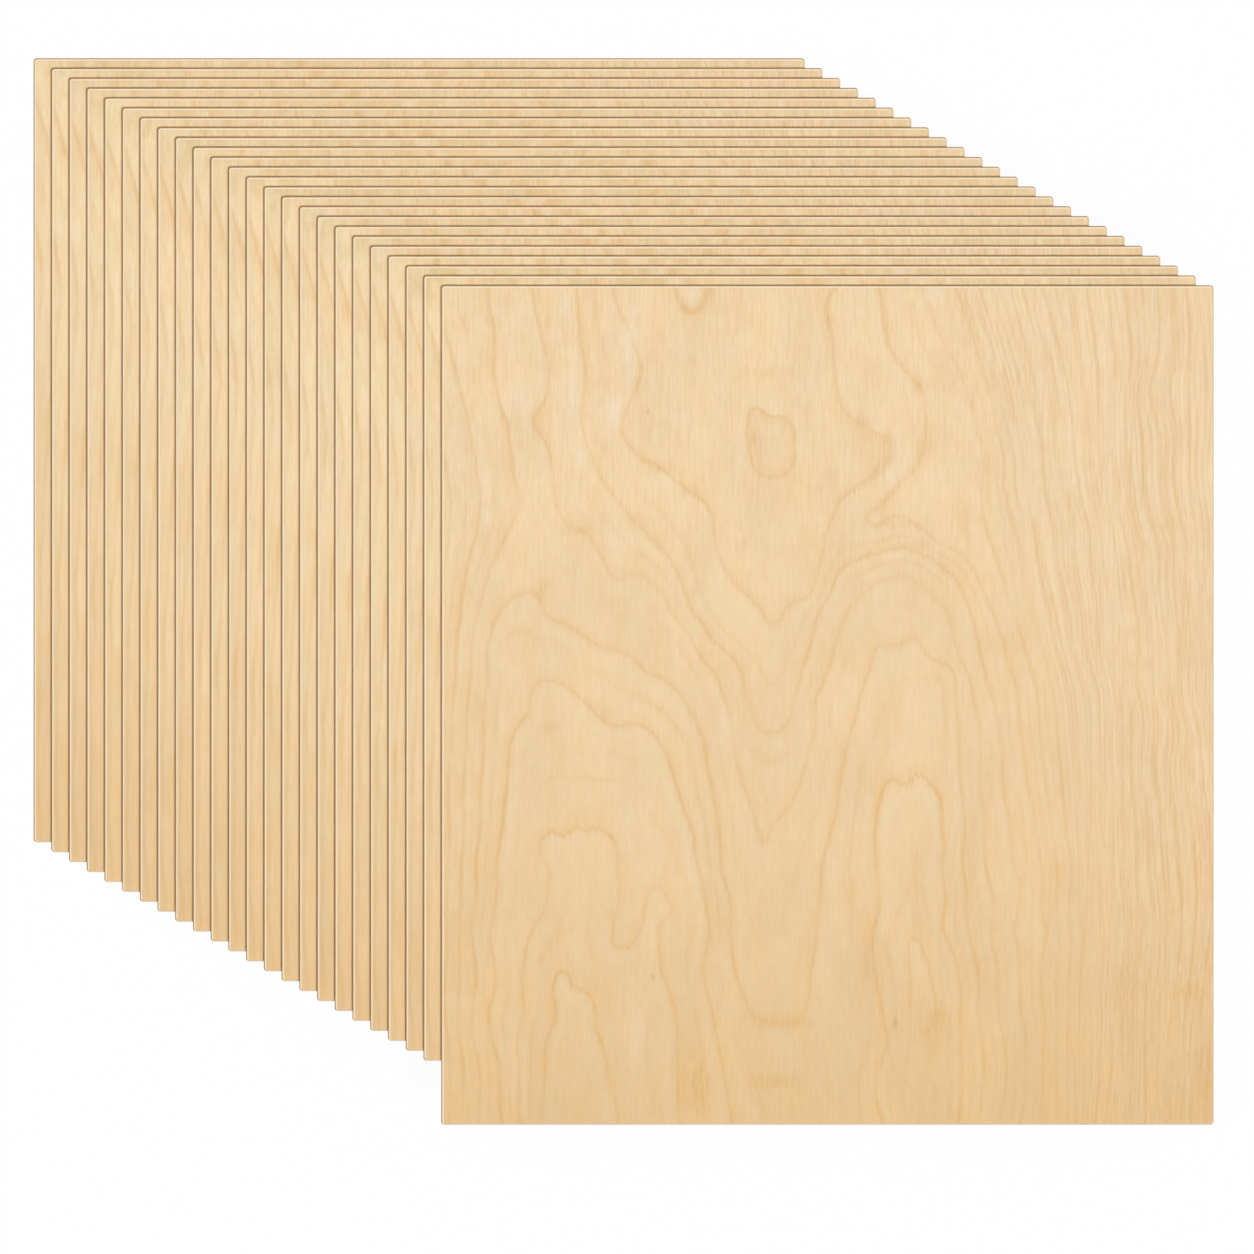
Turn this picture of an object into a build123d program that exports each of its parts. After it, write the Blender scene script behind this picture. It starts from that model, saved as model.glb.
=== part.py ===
from build123d import *
import os

# A fanned stack of thin plywood sheets lying flat. Every sheet rests face to face on
# the one below and is stepped sideways and forward, so that each shows a strip along
# its left and back edges. The top sheet shows its whole face and is cut longer.
#
# Millimetres, +Z up. +X runs across the face grain, the way the fan steps sideways.
# +Y runs along the face grain, towards the back edge, away from the way the fan steps
# forward. The origin is the middle of the stack's bounding box, on its underside.

# Driving dimensions
SHEET_COUNT = 24
SHEET_WIDTH = 300.0
SHEET_LENGTH = 305.0
TOP_SHEET_LENGTH = 326.0
SHEET_THICKNESS = 1.5
STEP_SIDEWAYS = 6.9
STEP_FORWARD = 3.85
CORNER_RADIUS = 1.3
ARRIS_CHAMFER = 0.4

# Sizes that follow from them
LAST = SHEET_COUNT - 1
LENGTHS = [SHEET_LENGTH] * LAST + [TOP_SHEET_LENGTH]
FAN_WIDTH = SHEET_WIDTH + LAST * STEP_SIDEWAYS
FAN_DEPTH = max(level * STEP_FORWARD + length for level, length in enumerate(LENGTHS))


def sheet(length):
    """One sawn sheet with its back left corner at the origin, lying on z = 0.

    The four corners are rounded, and the arrises round both faces are lightly sanded.
    """
    with BuildPart() as sawn:
        with BuildSketch():
            RectangleRounded(SHEET_WIDTH, length, CORNER_RADIUS, align=(Align.MIN, Align.MAX))
        extrude(amount=SHEET_THICKNESS)
        level_faces = sawn.faces().filter_by(Axis.Z)
        chamfer(level_faces.edges(), ARRIS_CHAMFER)
    return sawn.part


def place(level):
    """Where the back left corner of a sheet lies, counted from the lowest sheet as level 0."""
    return Pos(
        level * STEP_SIDEWAYS - FAN_WIDTH / 2,
        FAN_DEPTH / 2 - level * STEP_FORWARD,
        level * SHEET_THICKNESS,
    )


def node_name(level):
    """The lower sheets are numbered upwards from the floor, and the last is the top sheet."""
    return "top_sheet" if level == LAST else f"sheet_{level + 1:02d}"


os.makedirs("parts", exist_ok=True)
for level, length in enumerate(LENGTHS):
    export_step(place(level) * sheet(length), f"parts/{node_name(level)}.step")
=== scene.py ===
"""A fanned stack of thin plywood sheets, dressed with veneer and sawn edges in a plain studio."""

import logging
import math
from dataclasses import dataclass
from enum import Enum
from functools import cached_property
from typing import NamedTuple

import bmesh
import bpy
import numpy as np
from mathutils import Color, Matrix, Vector


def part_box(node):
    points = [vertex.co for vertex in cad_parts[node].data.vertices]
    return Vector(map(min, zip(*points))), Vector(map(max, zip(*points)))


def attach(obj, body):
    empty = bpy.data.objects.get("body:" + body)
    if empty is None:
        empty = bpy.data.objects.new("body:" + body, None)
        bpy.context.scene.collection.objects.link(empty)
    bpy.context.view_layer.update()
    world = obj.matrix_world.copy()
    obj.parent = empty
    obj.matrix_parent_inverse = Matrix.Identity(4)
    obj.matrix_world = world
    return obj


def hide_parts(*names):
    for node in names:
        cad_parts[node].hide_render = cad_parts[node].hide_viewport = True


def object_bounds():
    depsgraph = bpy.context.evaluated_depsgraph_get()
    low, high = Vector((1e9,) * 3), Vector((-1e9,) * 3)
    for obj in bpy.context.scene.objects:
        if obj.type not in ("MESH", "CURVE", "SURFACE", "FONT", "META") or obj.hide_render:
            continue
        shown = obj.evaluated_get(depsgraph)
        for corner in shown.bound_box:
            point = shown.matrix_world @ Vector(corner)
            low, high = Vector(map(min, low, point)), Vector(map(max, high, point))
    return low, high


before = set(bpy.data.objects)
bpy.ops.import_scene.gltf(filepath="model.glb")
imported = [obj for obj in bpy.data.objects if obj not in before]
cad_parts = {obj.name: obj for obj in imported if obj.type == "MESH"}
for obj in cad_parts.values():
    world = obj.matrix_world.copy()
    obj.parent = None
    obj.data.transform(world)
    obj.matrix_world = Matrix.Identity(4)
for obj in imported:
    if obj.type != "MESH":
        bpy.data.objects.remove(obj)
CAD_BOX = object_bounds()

LOG = logging.getLogger("plywood")

# Values that the classes share; lengths are in metres unless a name or docstring says otherwise
MM = 0.001
BODY = "root"
TOP_NODE = "top_sheet"
WHITE = (1.0, 1.0, 1.0, 1.0)
NOISE_MIDDLE = 0.5

# The photograph's frame, in its own pixels
PHOTO_SIDE = 1254
PHOTO_CORNER = (441.2, 285.3)
PHOTO_SHEET_WIDTH = 772.5

Colour = tuple[int, int, int]
Share = tuple[float, float, float]
Pixel = tuple[float, float]
Socket = bpy.types.NodeSocket
Feed = Socket | float | tuple[float, ...]


def linear(colour: Colour) -> tuple[float, ...]:
    """Turns a colour as seen on a screen into the renderer's linear light.

    Args:
        colour: Red, green and blue from 0 to 255.

    Returns:
        Linear red, green, blue and a full alpha.
    """
    light = Color([part / 255.0 for part in colour]).from_srgb_to_scene_linear()
    return (*light, 1.0)


def add_object(name: str, data: bpy.types.ID) -> bpy.types.Object:
    """Adds an object to the scene.

    Args:
        name: Its name.
        data: Its mesh, lamp or camera.

    Returns:
        The new object.
    """
    made = bpy.data.objects.new(name, data)
    bpy.context.scene.collection.objects.link(made)
    return made


class Tone(Enum):
    """The tones of the veneer's soft patches, each named as the mesh's points keep it."""

    AMBER = "amber_patch"
    PALE = "pale_patch"


class Surface(Enum):
    """The three surfaces of a sheet, each with a material slot of its own."""

    FACE = 0
    BACK = 1
    EDGE = 2


class Run(NamedTuple):
    """A smooth change from one number to another.

    Attributes:
        start: Where it begins.
        end: Where it is over.
        low: The number up to the start.
        high: The number from the end on.
    """

    start: float
    end: float
    low: float = 0.0
    high: float = 1.0


@dataclass(frozen=True)
class Noise:
    """A layer of soft noise.

    Attributes:
        cell: How large its spots are along each axis, of which flat noise has two.
        detail: How many finer layers are added.
        run: What its values, which lie about one half, are turned into.
    """

    cell: tuple[float, ...]
    detail: float
    run: Run = Run(0.3, 0.7, -1.0, 1.0)


@dataclass
class ShaderGraph:
    """A node tree, with short calls for the nodes that the finishes use."""

    tree: bpy.types.NodeTree

    @classmethod
    def empty(cls, owner: bpy.types.Material | bpy.types.World) -> "ShaderGraph":
        """Gives a material or a world an empty tree.

        Args:
            owner: The material or world.

        Returns:
            The tree's graph.
        """
        owner.use_nodes = True
        owner.node_tree.nodes.clear()
        return cls(owner.node_tree)

    def feed(self, socket: Socket, value: Feed) -> None:
        """Gives an input what it takes.

        Args:
            socket: The input.
            value: Another node's output, which is linked, or a plain value, which is set.
        """
        if isinstance(value, Socket):
            self.tree.links.new(value, socket)
        else:
            socket.default_value = value

    def add(
        self, kind: str, inputs: dict[str | int, Feed], output: str | int, **settings: str | bool
    ) -> Socket:
        """Adds a node and feeds it.

        Args:
            kind: The node's type name.
            inputs: What each input takes.
            output: The output that is wanted.
            settings: Properties to set on the node.

        Returns:
            That output's socket.
        """
        made = self.tree.nodes.new(kind)
        for key, value in settings.items():
            setattr(made, key, value)
        for key, value in inputs.items():
            self.feed(made.inputs[key], value)
        return made.outputs[output]

    def send(self, kind: str, share: Feed, first: Socket, second: Socket) -> None:
        """Mixes two shaders and sends the mixture to the tree's output.

        Args:
            kind: The output node's type name.
            share: How much of the second shader is taken.
            first: The shader at 0.
            second: The shader at 1.
        """
        mixed = self.add("ShaderNodeMixShader", {0: share, 1: first, 2: second}, "Shader")
        self.feed(self.tree.nodes.new(kind).inputs["Surface"], mixed)

    def math(self, operation: str, *values: Feed) -> Socket:
        """Works out one number from others, taken in order."""
        return self.add("ShaderNodeMath", dict(enumerate(values)), "Value", operation=operation)

    def times(self, first: Socket, *others: Feed) -> Socket:
        """Multiplies a number by others.

        Args:
            first: The number.
            others: What it is multiplied by.

        Returns:
            The product.
        """
        for other in others:
            first = self.math("MULTIPLY", first, other)
        return first

    def vectors(self, operation: str, *values: Feed) -> Socket:
        """Works out one vector from others, taken in order."""
        return self.add("ShaderNodeVectorMath", dict(enumerate(values)), "Vector", operation=operation)

    def number(self, name: str) -> Socket:
        """Reads a number kept on the mesh's points."""
        return self.add("ShaderNodeAttribute", {}, "Fac", attribute_name=name)

    def join(self, across: Feed, along: Feed) -> Socket:
        """Makes a flat vector from two numbers."""
        return self.add("ShaderNodeCombineXYZ", {"X": across, "Y": along}, "Vector")

    def split(self, vector: Socket) -> tuple[Socket, ...]:
        """Splits a vector.

        Args:
            vector: The vector.

        Returns:
            Its three numbers.
        """
        made = self.tree.nodes.new("ShaderNodeSeparateXYZ")
        self.feed(made.inputs["Vector"], vector)
        return tuple(made.outputs)

    def ease(self, value: Socket, run: Run) -> Socket:
        """Makes a number change smoothly while a value goes from a run's start to its end.

        Args:
            value: The value that is read.
            run: The change.

        Returns:
            The number.
        """
        names = ("From Min", "From Max", "To Min", "To Max")
        inputs = {"Value": value, **dict(zip(names, run))}
        return self.add("ShaderNodeMapRange", inputs, "Result", interpolation_type="SMOOTHSTEP")

    def noise(self, vector: Socket, layer: Noise) -> Socket:
        """Reads a layer of noise.

        Args:
            vector: Where to read it.
            layer: The layer.

        Returns:
            A number about one half.
        """
        flat = len(layer.cell) == 2
        scaled = self.vectors("DIVIDE", vector, (*layer.cell, 1.0) if flat else layer.cell)
        inputs = {"Vector": scaled, "Scale": 1.0, "Detail": layer.detail}
        return self.add("ShaderNodeTexNoise", inputs, "Fac", noise_dimensions="2D" if flat else "3D")

    def eased_noise(self, vector: Socket, layer: Noise) -> Socket:
        """Reads a layer of noise at a vector, turned into the numbers of its run."""
        return self.ease(self.noise(vector, layer), layer.run)

    def blend(self, amount: Feed, first: Feed, second: Feed) -> Socket:
        """Mixes two colours; an amount of 0 gives the first and 1 the second."""
        # The sockets go by number, because a Mix node's colours share their names with its other types
        inputs = {0: amount, 6: first, 7: second}
        return self.add("ShaderNodeMix", inputs, 2, data_type="RGBA", clamp_factor=True)

    def vary(self, colour: Feed, amount: Socket, swing: Share) -> Socket:
        """Makes a colour lighter or darker, each channel by its own share.

        Args:
            colour: The colour to change.
            amount: How far to go, from -1 to 1.
            swing: The share by which red, green and blue change when the amount is 1.

        Returns:
            The changed colour's socket.
        """
        return self.vectors("MULTIPLY", colour, self.vectors("MULTIPLY_ADD", amount, swing, WHITE[:3]))

    def seen_directly(self) -> Socket:
        """Tells the camera's rays from light's own paths.

        Returns:
            One for rays from the camera, also by way of gloss or glass, and zero for others.
        """
        path = self.tree.nodes.new("ShaderNodeLightPath").outputs
        through = self.math("MAXIMUM", path["Is Glossy Ray"], path["Is Transmission Ray"])
        return self.math("MAXIMUM", path["Is Camera Ray"], through)


@dataclass
class SheetGraph(ShaderGraph):
    """The node tree of a sheet's finish, which knows where on its sheet a point lies.

    Attributes:
        sheet_step: How far the noise moves on from sheet to sheet, in millimetres.
    """

    sheet_step: Share = (13.0, 29.0, 7.0)

    @property
    def shader(self) -> bpy.types.NodeInputs:
        """The inputs of the tree's shader."""
        return self.tree.nodes["Principled BSDF"].inputs

    @cached_property
    def place(self) -> Socket:
        """Where the point lies, in millimetres across, along and up the sheet."""
        return self.add("ShaderNodeAttribute", {}, "Vector", attribute_name="place")

    @cached_property
    def across_along_up(self) -> tuple[Socket, ...]:
        """The three numbers of the place."""
        return self.split(self.place)

    @cached_property
    def sheet(self) -> Socket:
        """How many sheets lie on this one."""
        return self.number("sheet")

    @cached_property
    def spot(self) -> Socket:
        """The place, moved on from sheet to sheet so that no two are alike."""
        return self.vectors("ADD", self.place, self.vectors("MULTIPLY", self.sheet_step, self.sheet))

    @cached_property
    def growth(self) -> Socket:
        """The level on the figure's map of growth."""
        return self.number("growth")

    @cached_property
    def facing(self) -> tuple[Socket, ...]:
        """How far the surface faces right, back and up."""
        return self.split(self.add("ShaderNodeTexCoord", {}, "Normal"))


@dataclass(frozen=True)
class WoodFinish:
    """What the sheet's surfaces have in common: bare sanded wood.

    Attributes:
        roughness: The shader's roughness.
        shine: The shader's specular level.
        relief: How high the raised grain stands.
        relief_share: How much of that relief shows.
    """

    roughness: float = 0.62
    shine: float = 0.25
    relief: float = 0.04 * MM
    relief_share: float = 0.12

    def start(self, name: str) -> tuple[bpy.types.Material, SheetGraph]:
        """Makes a material with its shader.

        Args:
            name: The material's name.

        Returns:
            The material and its graph.
        """
        material = bpy.data.materials.new(name)
        material.use_nodes = True
        graph = SheetGraph(material.node_tree)
        graph.feed(graph.shader["Roughness"], self.roughness)
        graph.feed(graph.shader["Specular IOR Level"], self.shine)
        return material, graph

    def coat(self, graph: SheetGraph, colour: Socket, height: Socket) -> None:
        """Gives the shader its colour and a slight relief.

        Args:
            graph: The material's graph.
            colour: The colour.
            height: The height of the grain, from 0 to 1.
        """
        graph.feed(graph.shader["Base Color"], colour)
        bump = {"Strength": self.relief_share, "Distance": self.relief, "Height": height}
        graph.feed(graph.shader["Normal"], graph.add("ShaderNodeBump", bump, "Normal"))


@dataclass(frozen=True)
class GrowthLine:
    """One late-wood line of the veneer's figure, read from the photograph.

    Attributes:
        level: Its height on the figure's map of growth, where whole numbers are drawn as lines.
        ink: How dark it is, 1 being usual.
        pixels: The points it runs through, in the photograph's pixels.
    """

    level: float
    ink: float
    pixels: tuple[Pixel, ...]


@dataclass(frozen=True)
class Mark:
    """A spot of the veneer, read from the photograph.

    Attributes:
        centre: Its middle, in the photograph's pixels.
        reach: Its half width and half height, in the photograph's pixels.
        depth: How much of its tone it takes, from 0 to 1.
    """

    centre: Pixel
    reach: Pixel
    depth: float


GROWTH_LINES: dict[str, GrowthLine] = {
    "inner_vee": GrowthLine(0, 0.87, (
        (614, 287), (622, 318), (633, 345), (641, 374), (629, 404), (622, 430), (640, 456), (664, 471),
        (690, 491), (710, 510), (716, 543), (727, 572), (748, 594), (763, 612), (780, 621), (788, 606),
        (811, 592), (821, 560), (828, 528), (840, 501), (866, 481), (886, 462), (887, 438), (862, 425),
        (844, 411), (836, 385), (833, 340), (836, 287))),
    "small_hill": GrowthLine(0, 1.0, (
        (675, 287), (681, 303), (693, 313), (703, 303), (709, 287))),
    "eye": GrowthLine(-1, 0.9, (
        (757, 408), (747, 425), (750, 450), (759, 473), (773, 477), (787, 473), (794, 445), (787, 420),
        (770, 417))),
    "eye_floor": GrowthLine(-1.6, 0.8, (
        (771, 445),)),
    "pocket_arch": GrowthLine(0, 0.8, (
        (878, 287), (884, 325), (898, 362), (919, 387), (925, 412), (924, 442), (911, 473), (892, 494),
        (874, 511), (876, 526), (916, 524), (940, 544), (962, 556), (984, 592), (1003, 640),
        (1016, 687), (1025, 757), (1034, 810), (1043, 872), (1046, 930), (1045, 1020), (1043, 1122))),
    "second_vee": GrowthLine(1, 0.78, (
        (576, 287), (582, 345), (581, 415), (588, 448), (608, 488), (634, 521), (656, 543), (680, 578),
        (692, 610), (712, 640), (735, 660), (746, 695), (758, 726), (772, 733), (790, 718), (798, 686),
        (810, 645), (822, 606), (838, 573), (868, 556), (905, 548), (932, 559), (957, 582), (974, 625),
        (987, 682), (1000, 735), (1004, 795), (1012, 858), (1014, 930), (1021, 1010), (1020, 1122))),
    "third_vee": GrowthLine(2, 0.72, (
        (548, 448), (553, 485), (568, 524), (588, 534), (604, 562), (617, 580), (643, 576), (666, 600),
        (690, 636), (714, 672), (730, 716), (741, 775), (755, 820), (762, 842), (772, 826), (797, 793),
        (808, 755), (815, 700), (832, 656), (860, 597), (882, 580), (903, 576), (926, 590), (949, 618),
        (962, 662), (974, 705), (980, 780), (985, 850), (994, 910), (998, 985), (1000, 1122))),
    "left_cell_right": GrowthLine(2, 0.76, (
        (530, 287), (538, 322), (548, 360), (547, 395), (533, 420))),
    "left_cell_left": GrowthLine(2, 0.85, (
        (488, 300), (495, 335), (494, 375), (500, 405), (509, 438), (515, 478), (518, 505), (505, 538),
        (492, 565), (479, 606), (471, 655), (467, 720), (463, 800), (461, 900), (458, 1000), (461, 1122))),
    "left_margin": GrowthLine(1, 0.86, (
        (443, 325), (455, 368), (466, 412), (474, 455), (480, 495), (476, 535), (465, 575), (459, 620),
        (455, 680), (451, 750), (449, 840), (447, 940), (448, 1040), (450, 1122))),
    "left_arch": GrowthLine(3, 1.0, (
        (478, 1122), (473, 1040), (476, 985), (472, 930), (476, 860), (480, 790), (483, 715),
        (487, 655), (495, 620), (508, 602), (538, 597), (548, 616), (575, 630), (600, 647), (622, 651),
        (646, 671), (672, 686), (691, 712), (705, 752), (715, 808), (722, 872), (730, 935), (736, 975),
        (750, 1012), (778, 1024), (803, 1014), (811, 970), (818, 915), (823, 862), (838, 803),
        (843, 762), (856, 715), (871, 667), (874, 650), (898, 645), (917, 641), (934, 660), (953, 670),
        (959, 720), (961, 790), (962, 860), (966, 905), (972, 945), (978, 1010), (977, 1122))),
    "broad_finger": GrowthLine(4, 1.35, (
        (502, 1122), (498, 1065), (489, 1010), (490, 940), (497, 870), (505, 805), (510, 745),
        (527, 716), (537, 684), (562, 684), (588, 704), (615, 726), (638, 724), (664, 749), (676, 785),
        (693, 835), (702, 882), (710, 935), (712, 1010), (722, 1065), (732, 1122))),
    "right_finger": GrowthLine(4, 1.2, (
        (882, 1122), (887, 1045), (880, 998), (874, 960), (879, 910), (876, 860), (880, 800),
        (887, 782), (905, 784), (922, 776), (940, 799), (944, 850), (946, 900), (943, 930), (955, 957),
        (961, 1000), (961, 1060), (958, 1122))),
    "tooth": GrowthLine(5, 1.0, (
        (524, 1010), (522, 984), (525, 958), (530, 936), (542, 915), (548, 891), (549, 871), (540, 849),
        (543, 837), (552, 832), (565, 836), (576, 828), (586, 831), (597, 828), (607, 832), (614, 841),
        (617, 861), (619, 884), (618, 907), (613, 931), (613, 945), (634, 941), (641, 926), (646, 907),
        (657, 885), (665, 895), (662, 922), (659, 948), (661, 969), (668, 987), (676, 1014),
        (677, 1060), (680, 1122))),
    "tooth_inside": GrowthLine(5.3, 1.0, (
        (558, 850), (580, 850), (602, 850), (566, 890), (602, 884), (600, 930), (626, 962), (652, 908),
        (650, 948))),
    "tooth_outside": GrowthLine(4.75, 1.0, (
        (535, 825), (565, 818), (600, 812), (630, 845), (634, 885), (630, 918), (684, 920))),
    "low_arch": GrowthLine(6, 1.2, (
        (541, 1122), (546, 1045), (552, 992), (561, 971), (572, 986), (588, 994), (595, 1027),
        (609, 1080), (618, 1122))),
    "right_inner": GrowthLine(5, 0.75, (
        (910, 1000), (916, 938), (928, 963), (934, 995))),
    "right_inner_end": GrowthLine(5, 0.1, (
        (905, 1122), (906, 1060), (932, 1060), (930, 1122))),
    "right_inside": GrowthLine(5.2, 0.3, (
        (921, 1030), (919, 1080), (918, 1118))),
    "straight_1": GrowthLine(-1, 0.56, (
        (922, 287), (938, 331), (960, 374), (975, 415), (985, 460), (983, 505), (992, 545), (1010, 600),
        (1030, 668), (1040, 740), (1052, 830), (1057, 920), (1057, 1020), (1056, 1122))),
    "straight_2": GrowthLine(-2, 0.72, (
        (955, 287), (968, 322), (985, 378), (995, 425), (1003, 485), (1020, 553), (1034, 620),
        (1054, 700), (1062, 790), (1070, 880), (1069, 1000), (1067, 1122))),
    "straight_4": GrowthLine(-4, 0.5, (
        (1000, 287), (1016, 342), (1030, 392), (1040, 440), (1047, 500), (1055, 560), (1070, 640),
        (1085, 700), (1090, 780), (1093, 880), (1090, 1000), (1085, 1122))),
    "straight_6": GrowthLine(-6, 0.52, (
        (1045, 287), (1057, 340), (1068, 400), (1075, 470), (1088, 530), (1096, 600), (1108, 690),
        (1112, 800), (1116, 900), (1112, 1010), (1105, 1122))),
    "straight_8": GrowthLine(-8, 0.64, (
        (1088, 287), (1096, 350), (1100, 430), (1106, 500), (1118, 580), (1124, 680), (1132, 780),
        (1136, 880), (1134, 1000), (1128, 1122))),
    "straight_10": GrowthLine(-10, 0.95, (
        (1125, 287), (1131, 370), (1126, 455), (1134, 520), (1145, 585), (1152, 665), (1154, 760),
        (1162, 850), (1165, 960), (1160, 1122))),
    "straight_12": GrowthLine(-12, 1.25, (
        (1158, 287), (1150, 390), (1160, 440), (1160, 487), (1174, 545), (1179, 640), (1187, 730),
        (1193, 830), (1197, 890), (1189, 990), (1180, 1122))),
    "straight_15": GrowthLine(-15, 0.6, (
        (1200, 287), (1207, 390), (1202, 470), (1208, 560), (1211, 700))),
}

PATCHES: dict[Tone, tuple[Mark, ...]] = {
    Tone.AMBER: (
        Mark((778, 1021), (31, 8), 0.33), Mark((777, 1081), (34, 8), 0.33),
        Mark((695, 1086), (18, 32), 0.45),
        Mark((932, 1027), (18, 24), 0.4), Mark((869, 955), (8, 45), 0.27), Mark((850, 893), (6, 14), 0.27),
        Mark((1190, 991), (16, 8), 0.4), Mark((1207, 1090), (8, 50), 0.28), Mark((551, 728), (7, 6), 0.4),
        Mark((604, 714), (12, 6), 0.23), Mark((540, 588), (8, 14), 0.3), Mark((756, 441), (7, 16), 0.4),
        Mark((762, 373), (27, 6), 0.2), Mark((504, 300), (15, 6), 0.1), Mark((452, 370), (5, 15), 0.13),
        Mark((537, 415), (8, 10), 0.12), Mark((511, 424), (7, 12), 0.16), Mark((661, 468), (14, 6), 0.27),
        Mark((686, 491), (12, 7), 0.17), Mark((580, 531), (12, 4), 0.3), Mark((633, 519), (9, 7), 0.2),
        Mark((638, 384), (5, 11), 0.2), Mark((583, 350), (5, 24), 0.16), Mark((830, 325), (5, 22), 0.2),
        Mark((864, 422), (14, 4), 0.15), Mark((886, 438), (5, 15), 0.12), Mark((919, 386), (8, 9), 0.22),
        Mark((898, 524), (17, 4), 0.3), Mark((903, 546), (17, 4), 0.13), Mark((692, 310), (9, 5), 0.17),
        Mark((605, 446), (14, 12), 0.15), Mark((917, 890), (6, 45), 0.2), Mark((962, 525), (13, 38), 0.17),
        Mark((818, 487), (13, 25), 0.15), Mark((747, 540), (11, 16), 0.15),
        Mark((812, 1064), (26, 12), 0.15),
    ),
    Tone.PALE: (
        Mark((627, 340), (6, 30), 0.75), Mark((614, 411), (9, 17), 0.8), Mark((581, 459), (7, 13), 0.55),
        Mark((487, 516), (5, 13), 0.6), Mark((485, 480), (5, 24), 0.45), Mark((567, 304), (8, 14), 0.45),
        Mark((570, 395), (7, 32), 0.55), Mark((521, 392), (14, 18), 0.4), Mark((523, 303), (8, 12), 0.15),
        Mark((901, 450), (8, 24), 0.45), Mark((934, 296), (8, 11), 0.6), Mark((892, 477), (8, 9), 0.5),
        Mark((693, 294), (6, 8), 0.6), Mark((893, 557), (13, 4), 0.35), Mark((445, 535), (14, 55), 0.2),
        Mark((629, 541), (16, 10), 0.3), Mark((952, 808), (9, 50), 0.3), Mark((729, 735), (10, 28), 0.25),
        Mark((638, 1035), (13, 45), 0.2), Mark((516, 1065), (9, 45), 0.2), Mark((1155, 330), (13, 40), 0.25),
        Mark((642, 820), (16, 60), 0.17), Mark((690, 860), (10, 40), 0.2), Mark((985, 740), (10, 50), 0.12),
    ),
}
FLECKS: tuple[Mark, ...] = (
    Mark((895, 1023), (4, 9), 0.6), Mark((653, 977), (3, 6), 0.45), Mark((648, 412), (2, 6), 0.55),
)


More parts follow.
